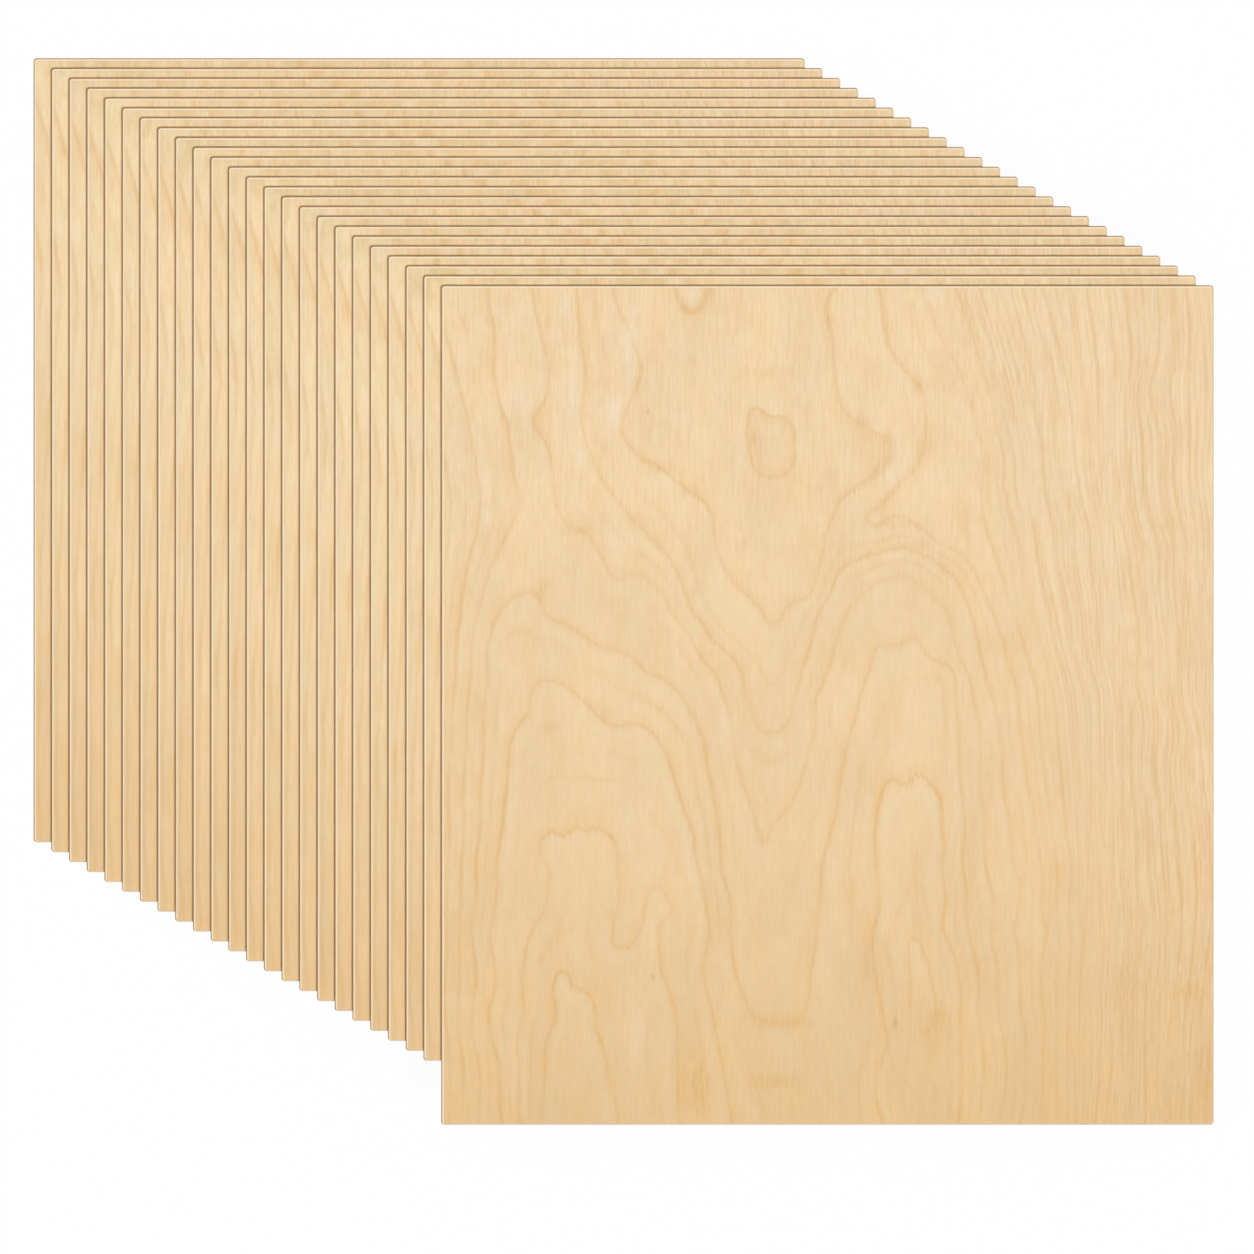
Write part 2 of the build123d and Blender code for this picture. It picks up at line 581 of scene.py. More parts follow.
class VeneerFigure:
    """The veneer's figure: a smooth map of growth whose whole levels are the late-wood lines.

    Attributes:
        UNIT_PIXELS: How many of the photograph's pixels make one of the figure's own units.
        SLOPE_STEP: The step over which the map's rise is measured, in millimetres.
        INK_REACH: How far from a line its own ink holds, in the photograph's pixels.
        LEAST_SQUARE: The least squared distance, which keeps its logarithm finite.
        PLANE_TERMS: How many terms the even part of the surface has.
    """

    UNIT_PIXELS = 100.0
    SLOPE_STEP = 0.5
    INK_REACH = 6.0
    LEAST_SQUARE = 1e-12
    PLANE_TERMS = 3

    def __init__(self, millimetres_per_pixel: float) -> None:
        """Fits a thin-plate surface through every growth line.

        Args:
            millimetres_per_pixel: The scale of the photograph at the top sheet's face.
        """
        self.scale = millimetres_per_pixel
        lines = [(line, pixel) for line in GROWTH_LINES.values() for pixel in line.pixels]
        levels = [line.level for line, _ in lines]
        self.inks = np.array([line.ink for line, _ in lines])
        self.points = np.array([pixel for _, pixel in lines], float) / self.UNIT_PIXELS
        count = len(lines)
        whole = count + self.PLANE_TERMS
        system = np.zeros((whole, whole))
        system[:count, :count] = self._kernel(self._squares(self.points))
        system[:count, count:] = self._plane(self.points)
        system[count:, :count] = system[:count, count:].T
        self.weights = np.linalg.solve(system, np.concatenate([levels, np.zeros(self.PLANE_TERMS)]))

    def _squares(self, units: np.ndarray) -> np.ndarray:
        """Squared distances from each place to each of the figure's points."""
        return ((units[:, None, :] - self.points[None, :, :]) ** 2).sum(-1)

    @classmethod
    def _kernel(cls, squares: np.ndarray) -> np.ndarray:
        """The thin-plate curve of squared distances."""
        return 0.5 * squares * np.log(np.maximum(squares, cls.LEAST_SQUARE))

    @staticmethod
    def _plane(units: np.ndarray) -> np.ndarray:
        """One, across and along for each place: the even part of the surface."""
        return np.column_stack([np.ones(len(units)), units])

    def _units(self, places: np.ndarray) -> np.ndarray:
        """Turns millimetres across and along the sheet into the figure's own units."""
        return (places / self.scale + np.array(PHOTO_CORNER)) / self.UNIT_PIXELS

    def pixel_to_place(self, pixel: Pixel) -> tuple[float, float]:
        """Turns a pixel of the photograph into millimetres across and along the sheet."""
        return tuple((part - corner) * self.scale for part, corner in zip(pixel, PHOTO_CORNER))

    def level(self, places: np.ndarray) -> np.ndarray:
        """Reads the map of growth.

        Args:
            places: Millimetres across and along the sheet, one row for each point.

        Returns:
            The level at each point.
        """
        units = self._units(places)
        bent, even = np.split(self.weights, [-self.PLANE_TERMS])
        return self._kernel(self._squares(units)) @ bent + self._plane(units) @ even

    def rises(self, places: np.ndarray) -> list[np.ndarray]:
        """Measures how fast the map rises.

        Args:
            places: Millimetres across and along the sheet, one row for each point.

        Returns:
            The rise across and the rise along the sheet, in levels for each millimetre.
        """
        moves = ((self.SLOPE_STEP, 0.0), (0.0, self.SLOPE_STEP))
        steps = [self.level(places + move) - self.level(places - move) for move in moves]
        return [step / (2 * self.SLOPE_STEP) for step in steps]

    def patch(self, places: np.ndarray, tone: Tone) -> np.ndarray:
        """Reads the soft patches of a tone.

        Args:
            places: Millimetres across and along the sheet, one row for each point.
            tone: The tone.

        Returns:
            How much of the tone each point takes.
        """
        pixels = self._units(places) * self.UNIT_PIXELS
        amount = np.zeros(len(places))
        for mark in PATCHES[tone]:
            steps = (pixels - mark.centre) / mark.reach
            amount = np.maximum(amount, mark.depth * np.exp(-(steps ** 2).sum(-1)))
        return amount

    def ink(self, places: np.ndarray) -> np.ndarray:
        """Reads how dark the lines are, from the inks of the lines around each point.

        Args:
            places: Millimetres across and along the sheet, one row for each point.

        Returns:
            The ink at each point.
        """
        reach = (self.INK_REACH / self.UNIT_PIXELS) ** 2
        shares = 1.0 / (self._squares(self._units(places)) + reach) ** 2
        return shares @ self.inks / shares.sum(-1)


@dataclass(frozen=True)
class LineFamily:
    """The growth lines that lie at one phase of the map's levels.

    Attributes:
        shift: How far their levels lie from whole numbers.
        strength: How bold they are: noise that changes from line to line and along the sheet.
    """

    shift: float
    strength: Noise


@dataclass(frozen=True)
class LineBand:
    """A band of wood beside a growth line.

    Attributes:
        rise: How it sets in, in millimetres from the line.
        fall: How it fades out, in millimetres from the line.
        depth: How much of its colour it takes.
    """

    rise: Run
    fall: Run
    depth: float

    def share(self, graph: ShaderGraph, distance: Socket) -> Socket:
        """How much of its colour the band takes at a distance from the line."""
        return graph.times(graph.ease(distance, self.rise), graph.ease(distance, self.fall), self.depth)


@dataclass(frozen=True)
class FaceNoise:
    """The layers of noise on a figured face.

    The cells are millimetres across and along the sheet. Those of the streaks in the straight grain are
    levels of growth and millimetres along the sheet. The fibres are a long layer and a short one.
    """

    fibres: tuple[Noise, Noise] = (Noise((1.1, 22.0), 2.0), Noise((0.7, 6.0), 2.0))
    blotches: Noise = Noise((6.0, 9.0), 2.0, Run(0.35, 0.7))
    warm_clouds: Noise = Noise((8.0, 22.0), 3.0, Run(0.35, 0.75, 0.0, 0.19))
    light_clouds: Noise = Noise((24.0, 50.0), 2.0, Run(0.25, 0.75, -1.0, 1.0))
    mottle: Noise = Noise((2.8, 5.5), 2.0, Run(0.25, 0.75, -1.0, 1.0))
    late_warmth: Noise = Noise((11.0, 17.0), 1.0, Run(0.3, 0.7, 0.5, 1.5))
    drift: Noise = Noise((14.0, 45.0), 1.0)
    fraying: Noise = Noise((0.9, 9.0), 2.0)
    streaks: tuple[Noise, Noise] = (
        Noise((1 / 2.3, 80.0), 1.0, Run(0.45, 0.75, 0.0, 0.1)),
        Noise((1 / 5.5, 50.0), 1.0, Run(0.45, 0.75, 0.0, 0.22)),
    )
    patches: Noise = Noise((1.6, 7.0), 2.0, Run(0.3, 0.7, 0.5, 1.2))
    flecks: Noise = Noise((1.4, 6.0), 2.0)


@dataclass(frozen=True)
class FaceZones:
    """Where a figured face changes: in millimetres, or in levels of growth for the straight grain and lines.

    Attributes:
        left_margin: How the left margin's paling fades across the sheet.
        left_fade: How it fades along the sheet.
        back_margin: How the back margin's blotches fade along the sheet.
        back_fibres: How strong the fibres are towards the back edge.
        painted_highlight_rim: How the painted highlight along the back and left edges fades inwards.
        fleck: How a fleck fades, in its own reach from its centre.
        straight: Where the grain runs straight.
        straight_paling: How much the straight grain pales along the sheet, in millimetres.
        straight_fibres: How strong its fibres are.
        straight_drift: How far its lines drift, in millimetres.
        straight_warmth: How warm its late wood is.
        straight_ink: How dark its lines are.
        before_line: Where the late wood before a line may begin.
        past_line: Where the early wood past a line is over.
    """

    left_margin: Run = Run(7.0, 30.0, 1.0, 0.0)
    left_fade: Run = Run(130.0, 300.0, 1.0, 0.0)
    back_margin: Run = Run(6.0, 18.0, 1.0, 0.0)
    back_fibres: Run = Run(60.0, 140.0, 2.0, 1.0)
    painted_highlight_rim: Run = Run(0.75, 1.15, 0.85, 0.0)
    fleck: Run = Run(0.5, 1.4, 1.0, 0.0)
    straight: Run = Run(-3.0, -1.0, 1.0, 0.0)
    straight_paling: Run = Run(130.0, 320.0, 0.18, 0.0)
    straight_fibres: Run = Run(-6.0, -3.0, 2.1, 1.0)
    straight_drift: Run = Run(-4.0, -1.0, 0.3, 0.8)
    straight_warmth: Run = Run(-5.0, -1.0, 0.85, 1.0)
    straight_ink: Run = Run(-6.0, -2.0, 0.7, 1.0)
    before_line: Run = Run(-0.5, -0.25)
    past_line: Run = Run(0.25, 0.5, 1.0, 0.0)


@dataclass(frozen=True)
class FaceVeneer(WoodFinish):
    """The figured rotary-cut veneer of a sheet's upper side.

    Attributes:
        head: Its colour near the back edge.
        foot: Its colour near the front edge.
        brown: The colour of a growth line's core, of the streaks and of the flecks.
        amber: The colour of the late wood before a growth line and of the warm clouds.
        stain: The colour of the warm patches.
        blotch: The colour of the blotches along the back margin.
        early: The colour of the pale early wood past a growth line and of the pale patches.
        painted_highlight_rim: The colour of the painted highlight: a pale rim along the back and left edges,
            where the eased edge would catch light.
        margin: The colour that the left margin tends to.
        foot_at: How far along the sheet the foot's colour is reached, in millimetres.
        margin_depth: How much the left margin pales.
        back_depth: How much of their colour the blotches along the back margin take.
        fibre_run: What the fibres' height is turned into for their light and shade.
        fibre_gloss: The roughness over the fibres' height.
        fibre_swing: The shares of red, green and blue by which the fibres vary.
        mottle_swing: The same for the mottle.
        cloud_swing: The same for the broad clouds.
        sheet_swing: The same from sheet to sheet.
        sheet_turn: How far the wave of lighter and darker sheets turns at each sheet, in radians.
        boldness: How bold the whole figure is, 1 being as on the top sheet.
        gloss_varies: Whether the roughness follows the fibres.
        core: The brown core of a growth line.
        late: The amber late wood before a growth line.
        past: The pale early wood past a growth line.
        families: The growth lines on whole levels, and the faint broken ones half-way between them.
        family_step: How far the noise of the lines' strength moves on from line to line.
        least_slope: The flattest growth at which a line's width is still true, in levels a millimetre.
        fray_across: How far the fraying moves a line across its own run, in millimetres.
        fray_along: How far it moves a line along the fibres, in millimetres.
        fleck_ragged: How ragged the flecks' edges are.
        noise: Its layers of noise.
        zones: Where it changes.
    """

    head: Colour = (240, 212, 170)
    foot: Colour = (227, 194, 144)
    brown: Colour = (209, 164, 109)
    amber: Colour = (235, 189, 120)
    stain: Colour = (216, 166, 92)
    blotch: Colour = (215, 185, 123)
    early: Colour = (245, 225, 194)
    painted_highlight_rim: Colour = (255, 234, 203)
    margin: Colour = (252, 234, 190)
    foot_at: float = 326.0
    margin_depth: float = 0.06
    back_depth: float = 0.08
    fibre_run: Run = Run(0.3, 0.7, -1.0, 1.0)
    fibre_gloss: Run = Run(0.3, 0.7, 0.7, 0.54)
    fibre_swing: Share = (0.017, 0.022, 0.033)
    mottle_swing: Share = (0.012, 0.016, 0.025)
    cloud_swing: Share = (0.025, 0.025, 0.025)
    sheet_swing: Share = (0.012, 0.012, 0.012)
    sheet_turn: float = 2.4
    boldness: float = 1.0
    gloss_varies: bool = False
    core: LineBand = LineBand(Run(-1.3, -0.05), Run(0.05, 1.3, 1.0, 0.0), 0.23)
    late: LineBand = LineBand(Run(-4.6, -0.2), Run(0.1, 1.8, 1.0, 0.0), 0.235)
    past: LineBand = LineBand(Run(1.4, 3.6), Run(4.6, 9.5, 1.0, 0.0), 0.09)
    families: tuple[LineFamily, ...] = (
        LineFamily(0.5, Noise((1.0, 30.0), 2.0, Run(0.3, 0.7, 0.0, 0.5))),
        LineFamily(0.0, Noise((1.0, 30.0), 2.0, Run(0.3, 0.7, 0.6, 1.2))),
    )
    family_step: float = 7.3
    least_slope: float = 0.012
    fray_across: float = 0.7
    fray_along: float = 2.8
    fleck_ragged: float = 0.8
    noise: FaceNoise = FaceNoise()
    zones: FaceZones = FaceZones()

    def material(self, figure: VeneerFigure, name: str) -> bpy.types.Material:
        """Makes the material.

        Args:
            figure: The figure, for the places of its flecks.
            name: The material's name.

        Returns:
            The finished material.
        """
        material, graph = self.start(name)
        fibre = self._fibre(graph)
        colour = self._ground(graph)
        colour = self._streaks(graph, colour)
        colour = self._lines(graph, colour)
        colour = self._patches(graph, colour)
        colour = self._flecks(graph, figure, colour)
        colour = self._sheen(graph, fibre, colour)
        # A painted highlight along the back and left edges
        colour = self._paint_highlight_rim(graph, colour)
        self.coat(graph, colour, fibre)
        if self.gloss_varies:
            graph.feed(graph.shader["Roughness"], graph.ease(fibre, self.fibre_gloss))
        return material

    def _fibre(self, graph: SheetGraph) -> Socket:
        """The height of the fibres: the mean of the long and the short ones."""
        both = (graph.noise(graph.spot, layer) for layer in self.noise.fibres)
        return graph.math("DIVIDE", graph.math("ADD", *both), 2.0)

    def _ground(self, graph: SheetGraph) -> Socket:
        """The wood's own colour: warmer towards the front, pale at the left, clouded, and new on each sheet.

        Args:
            graph: The material's graph.

        Returns:
            The wood's colour without its figure.
        """
        noise = self.noise
        zones = self.zones
        across, along, _ = graph.across_along_up
        share = graph.math("POWER", graph.math("DIVIDE", along, self.foot_at), 2.0)
        base = graph.blend(share, linear(self.head), linear(self.foot))
        at_left = graph.times(graph.ease(across, zones.left_margin), graph.ease(along, zones.left_fade))
        base = graph.blend(graph.times(at_left, self.margin_depth), base, linear(self.margin))
        blotches = graph.eased_noise(graph.spot, noise.blotches)
        at_back = graph.times(blotches, graph.ease(along, zones.back_margin), self.back_depth)
        base = graph.blend(at_back, base, linear(self.blotch))
        base = graph.blend(graph.eased_noise(graph.spot, noise.warm_clouds), base, linear(self.amber))
        base = graph.vary(base, graph.eased_noise(graph.spot, noise.light_clouds), self.cloud_swing)
        base = graph.vary(base, graph.eased_noise(graph.spot, noise.mottle), self.mottle_swing)
        turn = graph.math("SINE", graph.times(graph.sheet, self.sheet_turn))
        return graph.vary(base, turn, self.sheet_swing)

    def _streaks(self, graph: SheetGraph, colour: Socket) -> Socket:
        """Pales the straight-grained part and streaks it along the growth.

        Args:
            graph: The material's graph.
            colour: The wood's own colour.

        Returns:
            The colour with the streaks on it.
        """
        along = graph.across_along_up[1]
        straight = graph.ease(graph.growth, self.zones.straight)
        paling = graph.times(straight, graph.ease(along, self.zones.straight_paling))
        colour = graph.blend(paling, colour, linear(self.early))
        lane = graph.join(graph.growth, along)
        for layer in self.noise.streaks:
            streak = graph.times(graph.eased_noise(lane, layer), straight)
            colour = graph.blend(streak, colour, linear(self.brown))
        return colour

    def _lines(self, graph: SheetGraph, colour: Socket) -> Socket:
        """The growth lines: late wood that deepens up to a brown core, and pale early wood past it.

        Args:
            graph: The material's graph.
            colour: The wood's colour without lines.

        Returns:
            The colour with the lines on it.
        """
        zones = self.zones
        slope = graph.number("growth_slope")
        level = self._wander(graph, slope)
        warmth = graph.eased_noise(graph.spot, self.noise.late_warmth)
        warmth = graph.times(warmth, graph.ease(level, zones.straight_warmth))
        ink = graph.times(graph.number("growth_ink"), graph.ease(level, zones.straight_ink), self.boldness)
        for family in self.families:
            shifted = graph.math("ADD", level, family.shift)
            whole = graph.math("ROUND", shifted)
            offset = graph.math("SUBTRACT", shifted, whole)
            distance = graph.math("DIVIDE", offset, graph.math("MAXIMUM", slope, self.least_slope))
            line = graph.math("MULTIPLY_ADD", whole, self.family_step, family.shift)
            lane = graph.join(line, graph.across_along_up[1])
            strength = graph.times(graph.eased_noise(lane, family.strength), ink)
            past = graph.times(self.past.share(graph, distance), graph.ease(offset, zones.past_line))
            late = graph.times(self.late.share(graph, distance), graph.ease(offset, zones.before_line))
            late = graph.times(late, warmth)
            core = self.core.share(graph, distance)
            for amount, tone in ((past, self.early), (late, self.amber), (core, self.brown)):
                colour = graph.blend(graph.times(amount, strength), colour, linear(tone))
        return colour

    def _wander(self, graph: SheetGraph, slope: Socket) -> Socket:
        """Gives the growth the small drift of real lines, frayed along the fibres that they cross.

        Args:
            graph: The material's graph.
            slope: How fast the growth rises.

        Returns:
            The level of growth at which the lines are drawn.
        """
        drift = graph.math("SUBTRACT", graph.noise(graph.spot, self.noise.drift), NOISE_MIDDLE)
        drift = graph.times(drift, graph.ease(graph.growth, self.zones.straight_drift))
        level = graph.math("MULTIPLY_ADD", slope, drift, graph.growth)
        fray = graph.math("SUBTRACT", graph.noise(graph.spot, self.noise.fraying), NOISE_MIDDLE)
        level = graph.math("MULTIPLY_ADD", slope, graph.times(fray, self.fray_across), level)
        fray_along = graph.times(fray, self.fray_along)
        return graph.math("MULTIPLY_ADD", graph.number("growth_along"), fray_along, level)

    def _patches(self, graph: SheetGraph, colour: Socket) -> Socket:
        """Adds the soft pale and warm patches, a little uneven.

        Args:
            graph: The material's graph.
            colour: The colour so far.

        Returns:
            The colour with the patches on it.
        """
        uneven = graph.times(graph.eased_noise(graph.spot, self.noise.patches), self.boldness)
        for tone, tint in ((Tone.PALE, self.early), (Tone.AMBER, self.stain)):
            colour = graph.blend(graph.times(graph.number(tone.value), uneven), colour, linear(tint))
        return colour

    def _flecks(self, graph: SheetGraph, figure: VeneerFigure, colour: Socket) -> Socket:
        """Adds the small dark flecks.

        Args:
            graph: The material's graph.
            figure: The figure, for the flecks' places.
            colour: The colour so far.

        Returns:
            The colour with the flecks on it.
        """
        ragged = graph.times(graph.noise(graph.place, self.noise.flecks), self.fleck_ragged)
        for mark in FLECKS:
            centre = (*figure.pixel_to_place(mark.centre), 0.0)
            shrink = (*(1.0 / (part * figure.scale) for part in mark.reach), 0.0)
            outward = graph.vectors("MULTIPLY", graph.vectors("SUBTRACT", graph.place, centre), shrink)
            length = graph.add("ShaderNodeVectorMath", {0: outward}, "Value", operation="LENGTH")
            fade = graph.ease(graph.math("ADD", ragged, length), self.zones.fleck)
            colour = graph.blend(graph.times(fade, mark.depth), colour, linear(self.brown))
        return colour

    def _sheen(self, graph: SheetGraph, fibre: Socket, colour: Socket) -> Socket:
        """Lightens and darkens the wood along its fibres, most at the back and in the straight grain.

        Args:
            graph: The material's graph.
            fibre: The fibres' height.
            colour: The colour so far.

        Returns:
            The colour with its fibres.
        """
        at_back = graph.ease(graph.across_along_up[1], self.zones.back_fibres)
        in_straight = graph.ease(graph.growth, self.zones.straight_fibres)
        sheen = graph.times(graph.ease(fibre, self.fibre_run), graph.math("MAXIMUM", at_back, in_straight))
        return graph.vary(colour, sheen, self.fibre_swing)

    def _paint_highlight_rim(self, graph: SheetGraph, colour: Socket) -> Socket:
        """Paints a pale highlight a hair's breadth wide along the back and left edges."""
        inward = graph.math("MINIMUM", *graph.across_along_up[:2])
        return graph.blend(graph.ease(inward, self.zones.painted_highlight_rim), colour, linear(self.painted_highlight_rim))


@dataclass(frozen=True)
class BackVeneer(WoodFinish):
    """The plainer veneer of a sheet's underside.

    Attributes:
        pale: Its lighter colour.
        dark: Its darker colour.
        streaks: The noise of its fine streaks.
        bands: The noise of its broad bands.
        streak_share: How much the streaks count beside the bands.
        dark_run: How the darker colour sets in.
    """

    pale: Colour = (236, 206, 162)
    dark: Colour = (222, 188, 139)
    streaks: Noise = Noise((1.1, 70.0), 3.0)
    bands: Noise = Noise((14.0, 160.0), 2.0)
    streak_share: float = 0.4
    dark_run: Run = Run(0.3, 0.7)
    relief_share: float = 0.35

    def material(self, name: str) -> bpy.types.Material:
        """Makes the material.

        Args:
            name: The material's name.

        Returns:
            The finished material.
        """
        material, graph = self.start(name)
        streaks = graph.noise(graph.place, self.streaks)
        bands = graph.noise(graph.place, self.bands)
        both = graph.math("MULTIPLY_ADD", graph.math("SUBTRACT", streaks, bands), self.streak_share, bands)
        colour = graph.blend(graph.ease(both, self.dark_run), linear(self.pale), linear(self.dark))
        self.coat(graph, colour, streaks)
        return material


@dataclass(frozen=True)
class PlyEdge(WoodFinish):
    """The sawn edge, which shows three plies and the glue lines between them.

    Attributes:
        long_grain: The colour of a ply cut along its grain.
        end_grain: The colour of a ply cut across its grain.
        glue: The colour of a glue line.
        painted_shade_arris: Painted shade: the dark colour of the eased upper arrises at the back and left,
            which face away from the key sun.
        painted_light_arris: Painted light: the paler, greyer colour of those at the front and right, which
            face the key sun.
        arris_depth: How much of that painted shade or light the upper arrises take.
        under_share: The lower arrises' share of it.
        arris: How far the arrises are eased, in millimetres.
        arris_blur: How far to each side their colour sets in, in millimetres.
        plies: How many plies of the same thickness there are.
        glue_depth: How much of its colour a glue line takes.
        glue_half: Half a glue line's height, in millimetres.
        pores: Noise as fine as the wood's pores.
        streaks: Noise that is drawn out along the edge.
        pore_swing: The shares of red, green and blue by which the pores vary a ply cut across its grain.
        streak_swing: The shares by which the streaks vary a ply cut along its grain.
        sideways: How far an edge has to face sideways to count as the left or the right one.
        front_or_right: How the painted light of the front and right arrises takes over from the painted
            shade of the back and left ones.
    """

    long_grain: Colour = (226, 192, 143)
    end_grain: Colour = (204, 163, 113)
    glue: Colour = (150, 110, 70)
    painted_shade_arris: Colour = (168, 136, 90)
    painted_light_arris: Colour = (218, 200, 174)
    arris_depth: float = 0.8
    under_share: float = 0.4
    arris: float = 0.4
    arris_blur: float = 0.1
    plies: int = 3
    glue_depth: float = 0.8
    glue_half: float = 0.035
    pores: Noise = Noise((0.22, 0.22, 0.14), 2.0)
    streaks: Noise = Noise((9.0, 9.0, 0.16), 2.0)
    pore_swing: Share = (0.2, 0.2, 0.2)
    streak_swing: Share = (0.1, 0.1, 0.1)
    sideways: Run = Run(0.3, 0.6)
    front_or_right: Run = Run(-0.2, 0.2)
    roughness: float = 0.75
    relief_share: float = 0.4

    def material(self, name: str, thickness: float) -> bpy.types.Material:
        """Makes the material.

        Args:
            name: The material's name.
            thickness: The sheet's thickness in millimetres.

        Returns:
            The finished material.
        """
        material, graph = self.start(name)
        half = thickness / 2.0
        ply_half = half / self.plies
        glue_half = self.glue_half
        blur = self.arris_blur
        up = graph.across_along_up[2]
        from_middle = graph.math("ABSOLUTE", graph.math("SUBTRACT", up, half))
        core = graph.ease(from_middle, Run(ply_half - glue_half, ply_half + glue_half, 1.0, 0.0))
        from_glue = graph.math("ABSOLUTE", graph.math("SUBTRACT", from_middle, ply_half))
        glue = graph.ease(from_glue, Run(0.0, glue_half, self.glue_depth, 0.0))
        pores = graph.noise(graph.spot, self.pores)
        colour = graph.blend(glue, self._plies(graph, core, pores), linear(self.glue))
        # The eased arrises take painted shade at the back and left and painted light at the front and right,
        # the lower ones less of it
        begins = half - self.arris
        eased = graph.ease(from_middle, Run(begins - blur, begins + blur, 0.0, self.arris_depth))
        eased = graph.times(eased, graph.ease(up, Run(half - blur, half + blur, self.under_share, 1.0)))
        self.coat(graph, graph.blend(eased, colour, self._arris_colour(graph)), pores)
        return material

    def _arris_colour(self, graph: SheetGraph) -> Socket:
        """Makes the colour of the eased arrises: painted shade at the back and left and painted light at the
        front and right.

        Args:
            graph: The material's graph.

        Returns:
            The colour.
        """
        rightward, backward, _ = graph.facing
        # Painted shade where the arris faces back or left, painted light where it faces front or right
        front_or_right = graph.ease(graph.math("SUBTRACT", rightward, backward), self.front_or_right)
        return graph.blend(front_or_right, linear(self.painted_shade_arris), linear(self.painted_light_arris))

    def _plies(self, graph: SheetGraph, core: Socket, pores: Socket) -> Socket:
        """The plies' colours: the core's grain runs across that of the two outer plies.

        Args:
            graph: The material's graph.
            core: One in the core and zero in the outer plies.
            pores: Noise as fine as the wood's pores.

        Returns:
            The wood's colour.
        """
        sideways = graph.ease(graph.math("ABSOLUTE", graph.facing[0]), self.sideways)
        frontways = graph.math("SUBTRACT", 1.0, sideways)
        crossed = graph.math("ABSOLUTE", graph.math("SUBTRACT", core, frontways))
        streaks = graph.eased_noise(graph.spot, self.streaks)
        along_grain = graph.vary(linear(self.long_grain)[:3], streaks, self.streak_swing)
        pores = graph.ease(pores, self.pores.run)
        across_grain = graph.vary(linear(self.end_grain)[:3], pores, self.pore_swing)
        return graph.blend(crossed, along_grain, across_grain)


